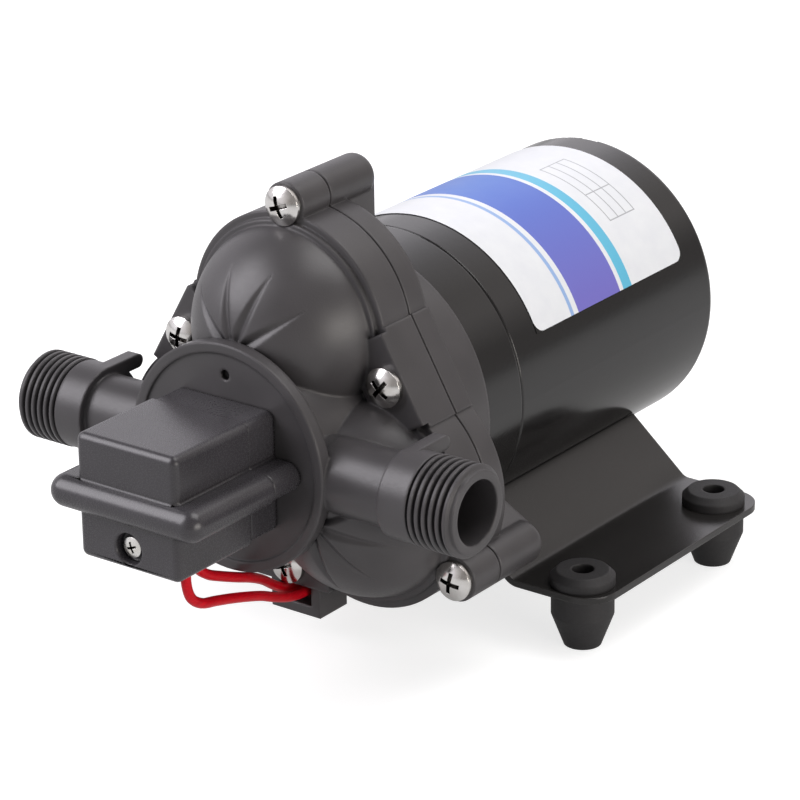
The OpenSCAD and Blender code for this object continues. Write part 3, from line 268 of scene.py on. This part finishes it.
def painted(name, base, rough, peel=700):
    """Gloss paint on steel: orange peel, dust specks and a painted highlight on the edges."""
    material, tree, shader = tree_of(name)
    here = place(tree)
    soft = rounded(tree, PAINT_ROUND)
    edges = edge_mask(tree, soft)
    skin = noise(tree, here, peel, 2, 0.4)
    dust = noise(tree, here, DUST_SCALE, 1)
    smears = noise(tree, stretch(tree, here, SMEAR_STRETCH), SMEAR_SCALE, 4)
    tone = mottled(tree, smears, base, 0.85, 1.2)
    specked = mixed(tree, spread(tree, dust, *DUST_SPAN, 0.0, DUST_MOST), tone, DUST)
    # painted highlight: a lighter colour along the edges
    edge_highlight = maths(tree, "MULTIPLY", edges, PAINT_EDGE_HIGHLIGHT_SHARE)
    tree.links.new(mixed(tree, edge_highlight, specked, PAINT_EDGE_HIGHLIGHT), shader.inputs["Base Color"])
    roughened(tree, shader, smears, rough * 0.85, rough * 1.25)
    bumped(tree, shader, skin, PEEL_DEPTH, 0.35, soft)
    plain_values(shader, IOR=1.5)
    return material


METAL_ROUND = 0.0002
TARNISH_SCALE = 240
TARNISH_SPAN = (0.35, 0.75)
RECESS_SHADE_REACH = 0.0016
RECESS_SHADE = (0.035, 0.028, 0.024)


def metal(name, base, tint, rough, grain=(1, 1, 1), scale=900, depth=0.00001, hollow_shade=0.0):
    """Bare metal: drawing or turning marks, tarnish and painted shade in the hollows."""
    material, tree, shader = tree_of(name)
    here = place(tree)
    soft = rounded(tree, METAL_ROUND)
    marks = noise(tree, stretch(tree, here, grain), scale, 3)
    clouds = noise(tree, here, TARNISH_SCALE, 3)
    tone = mixed(tree, spread(tree, clouds, *TARNISH_SPAN, 0.0, 1.0), base, tint)
    # painted shade: the colour darkened in recesses where shade falls
    if hollow_shade:
        shade_share = maths(tree, "MULTIPLY", hollows(tree, RECESS_SHADE_REACH), hollow_shade)
        tone = mixed(tree, shade_share, tone, RECESS_SHADE)
    tree.links.new(tone, shader.inputs["Base Color"])
    roughened(tree, shader, marks, rough * 0.75, rough * 1.3)
    bumped(tree, shader, marks, depth, 0.4, soft)
    plain_values(shader, Metallic=1.0)
    return material


WIRE_DEPTH = 0.0002
WIRE_DISTORTION = 1.5


def wound(name, base, tint, pitch):
    """Enamelled copper wire in close turns."""
    material, tree, shader = tree_of(name)
    here = place(tree)
    turns = tree.nodes.new("ShaderNodeTexWave")
    turns.bands_direction = "DIAGONAL"
    turns.inputs["Scale"].default_value = pitch
    turns.inputs["Distortion"].default_value = WIRE_DISTORTION
    tree.links.new(here, turns.inputs["Vector"])
    tree.links.new(mixed(tree, turns.outputs["Fac"], tint, base), shader.inputs["Base Color"])
    tree.links.new(spread(tree, turns.outputs["Fac"], 0, 1, 0.5, 0.3), shader.inputs["Roughness"])
    bumped(tree, shader, turns.outputs["Fac"], WIRE_DEPTH, 0.6)
    plain_values(shader, Metallic=0.8)
    return material


# The label: lengths in metres, angles round the motor's axis from the right, in degrees
AXIS_UP = 0.053
LABEL_FRONT, LABEL_REAR = -0.0145, 0.0475
LABEL_RADIUS = 0.0359
LABEL_HALF_ANGLE = math.radians(67.5)
LABEL_CORNER = 0.003
PAPER_SCALE = 220
PAPER_DARK, PAPER_LIGHT = (0.80, 0.82, 0.86), (0.84, 0.86, 0.89)
MAIN_BAND = (0.0170, 0.0345)
MAIN_BAND_TURN = (95, 25)  # from blue to violet
BLUE, VIOLET = (0.055, 0.175, 0.62), (0.19, 0.17, 0.57)
THIN_BANDS = ((0.0360, 0.0395, (0.13, 0.52, 0.74)), (0.0140, 0.0152, (0.32, 0.47, 0.78)))
PANEL_ROWS = (0.0440, 0.0474, 0.0508, 0.0542)
PANEL_COLUMNS = (48, 62, 84)
RULE_WIDE, RULE_TURN = 0.00035, 0.5
RULE_INK = (0.42, 0.43, 0.46)
FILM_SCALE = 160
FILM_DEPTH = 0.000004
MOTOR_BLACK = (0.012, 0.0115, 0.0115)


def label_print(name):
    """White film with straight printed bands and an empty ruled panel."""
    material, tree, shader = tree_of(name)
    here = place(tree)
    split = tree.nodes.new("ShaderNodeSeparateXYZ")
    tree.links.new(here, split.inputs[0])
    x, y, z = split.outputs
    angle = maths(tree, "ARCTAN2", maths(tree, "SUBTRACT", z, AXIS_UP), x)
    along = maths(tree, "SUBTRACT", y, LABEL_FRONT)

    def between(value, low, high):
        return maths(tree, "MULTIPLY", maths(tree, "GREATER_THAN", value, low),
                     maths(tree, "LESS_THAN", value, high))

    fibres = spread(tree, noise(tree, here, PAPER_SCALE, 3), *NOISE_SPAN, 0.0, 1.0)
    inks = mixed(tree, fibres, PAPER_DARK, PAPER_LIGHT)
    violet = spread(tree, angle, *(math.radians(a) for a in MAIN_BAND_TURN), 0.0, 1.0)
    band_ink = mixed(tree, violet, BLUE, VIOLET)
    for low, high, ink in ((*MAIN_BAND, band_ink), *THIN_BANDS):
        inks = mixed(tree, between(along, low, high), inks, ink)
    # the empty panel: an outline with three rules inside
    wide = between(angle, math.radians(PANEL_COLUMNS[0]), math.radians(PANEL_COLUMNS[-1]))
    for row in PANEL_ROWS:
        line = maths(tree, "MULTIPLY", wide, between(along, row, row + RULE_WIDE))
        inks = mixed(tree, line, inks, RULE_INK)
    tall = between(along, PANEL_ROWS[0], PANEL_ROWS[-1] + RULE_WIDE)
    for turn in PANEL_COLUMNS:
        start, stop = math.radians(turn), math.radians(turn + RULE_TURN)
        line = maths(tree, "MULTIPLY", tall, between(angle, start, stop))
        inks = mixed(tree, line, inks, RULE_INK)
    # round corners: outside their arcs the label has the motor's colour
    half_len = (LABEL_REAR - LABEL_FRONT) / 2
    half_arc = LABEL_HALF_ANGLE * LABEL_RADIUS
    off_along = maths(tree, "ABSOLUTE", maths(tree, "SUBTRACT", along, half_len))
    turned = maths(tree, "ABSOLUTE", maths(tree, "SUBTRACT", angle, math.pi / 2))
    off_round = maths(tree, "MULTIPLY", turned, LABEL_RADIUS)
    past = [maths(tree, "MAXIMUM", maths(tree, "SUBTRACT", off, half - LABEL_CORNER), 0.0)
            for off, half in ((off_along, half_len), (off_round, half_arc))]
    squares = [maths(tree, "POWER", off, 2.0) for off in past]
    reach = maths(tree, "SQRT", maths(tree, "ADD", *squares))
    inks = mixed(tree, maths(tree, "GREATER_THAN", reach, LABEL_CORNER), inks, MOTOR_BLACK)
    tree.links.new(inks, shader.inputs["Base Color"])
    film = noise(tree, here, FILM_SCALE, 2)
    roughened(tree, shader, film, 0.28, 0.33)
    bumped(tree, shader, film, FILM_DEPTH, 0.1)
    plain_values(shader, IOR=1.46)
    return material


STREAK_SCALE = 500
STREAK_STRETCH = (6, 0.6, 6)
STREAK_DEPTH = 0.00003


def insulation(name, base):
    """Soft PVC insulation with faint extrusion streaks."""
    material, tree, shader = tree_of(name)
    streaks = noise(tree, stretch(tree, place(tree), STREAK_STRETCH), STREAK_SCALE, 2)
    tree.links.new(mottled(tree, streaks, base, 0.85, 1.12), shader.inputs["Base Color"])
    roughened(tree, shader, streaks, 0.30, 0.42)
    bumped(tree, shader, streaks, STREAK_DEPTH, 0.3)
    plain_values(shader, IOR=1.4, Specular_IOR_Level=0.3, Subsurface_Weight=0.05,
                 Subsurface_Scale=0.001)
    return material


# Every moulded finish has a painted highlight on its edges; the charcoal nylon has painted shade in
# its hollows, and the switch shell in its seam and corners.
CHARCOAL = moulded("charcoal_nylon", (0.058, 0.0545, 0.057), (0.15, 0.14, 0.145), 0.38,
                   radius=0.0010, hollow_shade=0.8)
SWITCH_SHELL = moulded("switch_shell", (0.043, 0.0405, 0.045), (0.18, 0.17, 0.18), 0.27, grain=3200,
                       depth=0.00002, radius=0.0008, highlight_share=0.4, hollow_shade=0.9, shade_spots=SEAM_SHADE, matt=0.02)
# Both paints have a painted highlight on their edges.
MOTOR_PAINT = painted("motor_gloss_black", MOTOR_BLACK, 0.16)
PLATE_PAINT = painted("plate_gloss_black", (0.019, 0.0178, 0.0172), 0.21, peel=1500)
RUBBER = moulded("foot_rubber", (0.020, 0.019, 0.020), (0.05, 0.05, 0.05), 0.60, grain=1800,
                 radius=0.0007, highlight_share=0.2)
BLACK_RUBBER = moulded("valve_rubber", (0.016, 0.016, 0.016), (0.04, 0.04, 0.04), 0.62, grain=1800)
NYLON = moulded("natural_nylon", (0.62, 0.60, 0.54), (0.75, 0.74, 0.70), 0.42)
BLACK_NYLON = moulded("black_nylon", (0.025, 0.025, 0.026), (0.08, 0.08, 0.08), 0.45)
RED_NYLON = moulded("red_nylon", (0.36, 0.03, 0.025), (0.5, 0.1, 0.09), 0.40)
FIBRE = moulded("brush_card_fibre", (0.19, 0.11, 0.05), (0.28, 0.18, 0.09), 0.6, grain=900)
CARBON = moulded("brush_carbon", (0.035, 0.035, 0.036), (0.09, 0.09, 0.09), 0.5, grain=1600)
MAGNET = moulded("magnet_ferrite", (0.055, 0.055, 0.058), (0.12, 0.12, 0.12), 0.55, grain=1500)
# The stainless steel and the zinc have painted shade in their recesses.
STAINLESS = metal("stainless", (0.72, 0.71, 0.69), (0.55, 0.53, 0.50), 0.17, hollow_shade=1.0)
STEEL = metal("bright_steel", (0.62, 0.62, 0.63), (0.45, 0.45, 0.46), 0.26, grain=(1, 0.2, 1))
ZINC = metal("zinc_plate", (0.72, 0.72, 0.70), (0.60, 0.58, 0.52), 0.28, hollow_shade=1.0)
BRASS = metal("brass", (0.72, 0.53, 0.24), (0.55, 0.38, 0.15), 0.26)
COPPER = metal("commutator_copper", (0.80, 0.42, 0.27), (0.55, 0.26, 0.15), 0.28,
               grain=(1, 0.15, 1))
SPRING_STEEL = metal("spring_steel", (0.55, 0.55, 0.56), (0.40, 0.40, 0.42), 0.24)
BRONZE = metal("sintered_bronze", (0.58, 0.42, 0.22), (0.40, 0.28, 0.13), 0.45, scale=2500,
               depth=0.00003)
LAMINATIONS = metal("core_laminations", (0.30, 0.30, 0.31), (0.18, 0.18, 0.19), 0.4,
                    grain=(0.1, 6, 0.1), scale=300)
ENAMEL = wound("enamelled_copper", (0.62, 0.27, 0.11), (0.28, 0.10, 0.04), 900)
LABEL = label_print("printed_film")
RED_PVC = insulation("red_pvc", (0.66, 0.004, 0.014))

FINISH = {
    CHARCOAL: "head_housing drive_housing",
    SWITCH_SHELL: "switch_base switch_cover",
    MOTOR_PAINT: "motor_bell motor_can",
    PLATE_PAINT: "base_plate",
    RUBBER: "foot_front_right foot_front_left foot_rear_right foot_rear_left",
    BLACK_RUBBER: "intake_valves outlet_valve diaphragm switch_diaphragm",
    NYLON: "valve_plate pistons switch_plunger",
    BLACK_NYLON: "wobble_plate microswitch_body switch_lever",
    RED_NYLON: "microswitch_button",
    FIBRE: "brush_card",
    CARBON: "brush_right brush_left",
    MAGNET: "magnets",
    STAINLESS: "head_screws switch_screws base_plate_screws motor_screws piston_screws",
    STEEL: "motor_shaft lever_pin wobble_cam "
           "front_bearing_outer front_bearing_balls front_bearing_inner "
           "wobble_bearing_outer wobble_bearing_balls wobble_bearing_inner",
    ZINC: "pressure_adjust_screw",
    BRASS: "spring_nut microswitch_terminals",
    COPPER: "commutator",
    SPRING_STEEL: "switch_spring brush_spring_right brush_spring_left",
    BRONZE: "rear_bush",
    LAMINATIONS: "armature_core",
    ENAMEL: "windings",
    LABEL: "motor_label",
    RED_PVC: "red_wire_upper red_wire_lower",
}
for material, names in FINISH.items():
    for name in names.split():
        slots = NODES[name].data.materials
        slots.clear()
        slots.append(material)


# Broken edges, so that the joint between the two switch mouldings shows as a groove

SWITCH_EDGE = 0.00045
FLAT_WITHIN = math.radians(1)
SHARP_FROM = math.radians(40)


def break_edges(name, width):
    node = NODES[name]
    node.modifiers.new("weld", "WELD").merge_threshold = WELD_GAP
    flat = node.modifiers.new("flat_faces", "DECIMATE")
    flat.decimate_type = "DISSOLVE"
    flat.angle_limit = FLAT_WITHIN
    edges = node.modifiers.new("broken_edges", "BEVEL")
    edges.width = width
    edges.segments = 2
    edges.limit_method = "ANGLE"
    edges.angle_limit = SHARP_FROM
    edges.use_clamp_overlap = False
    node.modifiers.new("face_normals", "WEIGHTED_NORMAL")


break_edges("switch_base", SWITCH_EDGE)
break_edges("switch_cover", SWITCH_EDGE)


# The two switch leads, along the same routes as their solids, in mm

LEAD_D = 0.0024
LEAD_ROUNDNESS = 4
LOWER_LEAD = (
    (4, -107, 40), (4, -107, 36), (4, -107, 31), (4, -105.5, 27), (4, -102, 24.5), (3.5, -97, 23),
    (3, -91, 21.2), (2.5, -85, 19.2), (2, -79, 17), (2, -74, 14.8), (2, -69, 13), (2, -64, 12.2),
    (2, -59, 12), (2, -54, 12), (2, -48, 12), (2, -42, 12.4), (1.8, -38, 13.2), (1.6, -34, 14.4),
    (1.5, -31.4, 16.6), (1.5, -30.4, 19.4),
)
UPPER_LEAD = (
    (2, -101.5, 40), (2, -101.5, 36), (1.8, -100.5, 32), (1.6, -97, 29), (1.4, -92, 26.6),
    (1, -86, 24), (0, -80, 21.4), (-0.8, -75, 18.8), (-1.4, -70, 15.4), (-1.8, -66, 13.2),
    (-2, -62, 12.2), (-2, -58, 12), (-2, -54, 12), (-2, -48, 12), (-2, -42, 12.4),
    (-1.8, -38, 13.2), (-1.6, -34, 14.4), (-1.5, -31.4, 16.6), (-1.5, -30.4, 19.4),
)


def smooth_route(points, steps=6):
    """A curve through all the points, by Catmull and Rom's rule, in metres."""
    fixed = [Vector(p) * MM for p in points]
    ends = [2 * fixed[0] - fixed[1]] + fixed + [2 * fixed[-1] - fixed[-2]]
    route = []
    for a, b, c, d in zip(ends, ends[1:], ends[2:], ends[3:]):
        for i in range(steps):
            t = i / steps
            route.append(0.5 * (2 * b + (c - a) * t + (2 * a - 5 * b + 4 * c - d) * t * t
                                + (3 * b - a - 3 * c + d) * t * t * t))
    return route + [fixed[-1]]


def add_lead(name, points, node):
    route = smooth_route(points)
    curve = bpy.data.curves.new(name, "CURVE")
    curve.dimensions = "3D"
    curve.bevel_depth = LEAD_D / 2
    curve.bevel_resolution = LEAD_ROUNDNESS
    curve.use_fill_caps = True
    line = curve.splines.new("POLY")
    line.points.add(len(route) - 1)
    for spot, p in zip(line.points, route):
        spot.co = (*p, 1)
    line.use_smooth = True
    curve.materials.append(RED_PVC)
    lead = bpy.data.objects.new(name, curve)
    bpy.context.scene.collection.objects.link(lead)
    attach(lead, "pump")
    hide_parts(node)


add_lead("switch_lead_lower", LOWER_LEAD, "red_wire_lower")
add_lead("switch_lead_upper", UPPER_LEAD, "red_wire_upper")


# Springs copied from their CAD forms, the switch spring cut in halves at its middle, their places in
# mm

SWITCH_SPRING_FRONT = (0, -103.29, 43.4)
SWITCH_SPRING_MIDDLE = (0, -99.2, 43.4)
SWITCH_SPRING_REAR = (0, -95.11, 43.4)


def add_spring(name, node):
    """A copy of a CAD spring's own form, fixed to the pump."""
    bpy.context.view_layer.update()
    spring = bpy.data.objects.new(name, NODES[node].data.copy())
    spring.matrix_world = NODES[node].matrix_world
    bpy.context.scene.collection.objects.link(spring)
    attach(spring, "pump")
    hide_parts(node)
    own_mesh(spring)


def add_half_spring(name, node, middle, end):
    """Half of a CAD spring: the part from its middle to its end, with the cut closed."""
    bpy.context.view_layer.update()
    middle, end = Vector(middle) * MM, Vector(end) * MM
    mesh = NODES[node].data.copy()
    mesh.transform(NODES[node].matrix_world)
    half = bmesh.new()
    half.from_mesh(mesh)
    bmesh.ops.remove_doubles(half, verts=half.verts, dist=WELD_GAP)
    bmesh.ops.bisect_plane(half, geom=half.verts[:] + half.edges[:] + half.faces[:],
                           plane_co=middle, plane_no=end - middle, clear_inner=True)
    bmesh.ops.holes_fill(half, edges=[edge for edge in half.edges if edge.is_boundary])
    bmesh.ops.recalc_face_normals(half, faces=half.faces)
    half.to_mesh(mesh)
    half.free()
    spring = bpy.data.objects.new(name, mesh)
    bpy.context.scene.collection.objects.link(spring)
    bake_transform(spring)
    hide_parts(node)


add_spring("brush_coil_right", "brush_spring_right")
add_spring("brush_coil_left", "brush_spring_left")
add_half_spring("switch_coil_front", "switch_spring",
                SWITCH_SPRING_MIDDLE, SWITCH_SPRING_FRONT)
add_half_spring("switch_coil_rear", "switch_spring",
                SWITCH_SPRING_MIDDLE, SWITCH_SPRING_REAR)


# Floor, world and lights

WHITE = (1.0, 1.0, 1.0)
FLOOR_HALF = 6.0
FLOOR_DROP = 0.0002
FLOOR_GREY = (0.55, 0.55, 0.55)
FLOOR_SEEN, FLOOR_MIRRORED = 0.76, 0.24  # glow for the camera and for bounced rays
# a white wall to the left and a panel high behind, a dark wall to the right, dim light all round
SIDE_SPAN = (-0.30, 0.25)
WHITE_WALL, DARK_WALL = 1.0, 0.34
WALL_TOP_SPAN = (0.45, 0.80)
WALL_TOP = 0.25
PANEL_BACK_SPAN = (0.45, 0.75)
PANEL_UP_SPAN = (0.20, 0.45)
PANEL_GLOW = 0.55
DIM_LIGHT = 0.24
LEFT_TINT, RIGHT_TINT = (0.98, 0.95, 1.0), (1.0, 0.94, 0.92)
# name, place, aim, size, watts and colour
LAMPS = (
    ("top_lamp", (0.35, 0.30, 1.2), (0, 0, 0.05), (0.8, 0.8), 7.6, (1.0, 0.98, 0.98)),
    ("key_lamp", (-0.75, -0.75, 0.85), (0, -0.05, 0.05), (0.8, 1.0), 14, (0.98, 0.95, 1.0)),
    ("side_lamp", (1.2, -0.2, 0.25), (0, 0, 0.05), (0.8, 0.5), 6.5, (1.0, 0.95, 0.90)),
)


def light_rays(tree):
    """The light path's outputs, and 1 for a glossy or transmission ray."""
    rays = tree.nodes.new("ShaderNodeLightPath").outputs
    return rays, maths(tree, "MAXIMUM", rays["Is Glossy Ray"], rays["Is Transmission Ray"])


def add_floor():
    data = bpy.data.meshes.new("floor")
    half = FLOOR_HALF
    data.from_pydata([(-half, -half, 0), (half, -half, 0), (half, half, 0), (-half, half, 0)], [],
                     [(0, 1, 2, 3)])
    floor = bpy.data.objects.new("floor", data)
    floor.location.z = -FLOOR_DROP
    bpy.context.scene.collection.objects.link(floor)
    material = bpy.data.materials.new("pale_floor")
    material.use_nodes = True
    tree = material.node_tree
    tree.nodes.clear()
    out = tree.nodes.new("ShaderNodeOutputMaterial")
    diffuse = tree.nodes.new("ShaderNodeBsdfDiffuse")
    diffuse.inputs["Color"].default_value = (*FLOOR_GREY, 1)
    glow = tree.nodes.new("ShaderNodeEmission")
    glow.inputs["Color"].default_value = (*WHITE, 1)
    rays, bounced = light_rays(tree)
    seen = maths(tree, "ADD", maths(tree, "MULTIPLY", rays["Is Camera Ray"], FLOOR_SEEN),
                 maths(tree, "MULTIPLY", bounced, FLOOR_MIRRORED))
    tree.links.new(seen, glow.inputs["Strength"])
    both = tree.nodes.new("ShaderNodeAddShader")
    tree.links.new(diffuse.outputs[0], both.inputs[0])
    tree.links.new(glow.outputs[0], both.inputs[1])
    tree.links.new(both.outputs[0], out.inputs[0])
    data.materials.append(material)


def add_world():
    world = bpy.data.worlds.new("studio")
    bpy.context.scene.world = world
    world.use_nodes = True
    tree = world.node_tree
    tree.nodes.clear()
    out = tree.nodes.new("ShaderNodeOutputWorld")
    sky = tree.nodes.new("ShaderNodeBackground")
    rays, bounced = light_rays(tree)
    split = tree.nodes.new("ShaderNodeSeparateXYZ")
    tree.links.new(tree.nodes.new("ShaderNodeTexCoord").outputs["Generated"], split.inputs[0])
    x, y, z = split.outputs
    sides = maths(tree, "MULTIPLY", spread(tree, x, *SIDE_SPAN, WHITE_WALL, DARK_WALL),
                  spread(tree, z, *WALL_TOP_SPAN, 1.0, WALL_TOP))
    panel = maths(tree, "MULTIPLY", spread(tree, y, *PANEL_BACK_SPAN, 0.0, PANEL_GLOW),
                  spread(tree, z, *PANEL_UP_SPAN, 0.0, 1.0))
    walls = maths(tree, "ADD", sides, panel)
    lit = maths(tree, "ADD", rays["Is Camera Ray"], maths(tree, "MULTIPLY", bounced, walls))
    dim = maths(tree, "MULTIPLY", rays["Is Diffuse Ray"], DIM_LIGHT)
    tree.links.new(maths(tree, "ADD", lit, dim), sky.inputs["Strength"])
    tree.links.new(sky.outputs[0], out.inputs[0])
    tint = mixed(tree, spread(tree, x, *SIDE_SPAN, 0.0, 1.0), LEFT_TINT, RIGHT_TINT)
    tree.links.new(mixed(tree, bounced, WHITE, tint), sky.inputs["Color"])


def add_lamp(name, at, to, size, watts, colour):
    data = bpy.data.lights.new(name, "AREA")
    data.shape = "RECTANGLE"
    data.size, data.size_y = size
    data.energy = watts
    data.color = colour
    lamp = bpy.data.objects.new(name, data)
    lamp.location = at
    lamp.rotation_euler = (Vector(at) - Vector(to)).to_track_quat("Z", "Y").to_euler()
    bpy.context.scene.collection.objects.link(lamp)


add_floor()
add_world()
for lamp in LAMPS:
    add_lamp(*lamp)
bpy.context.scene.view_settings.view_transform = "Standard"
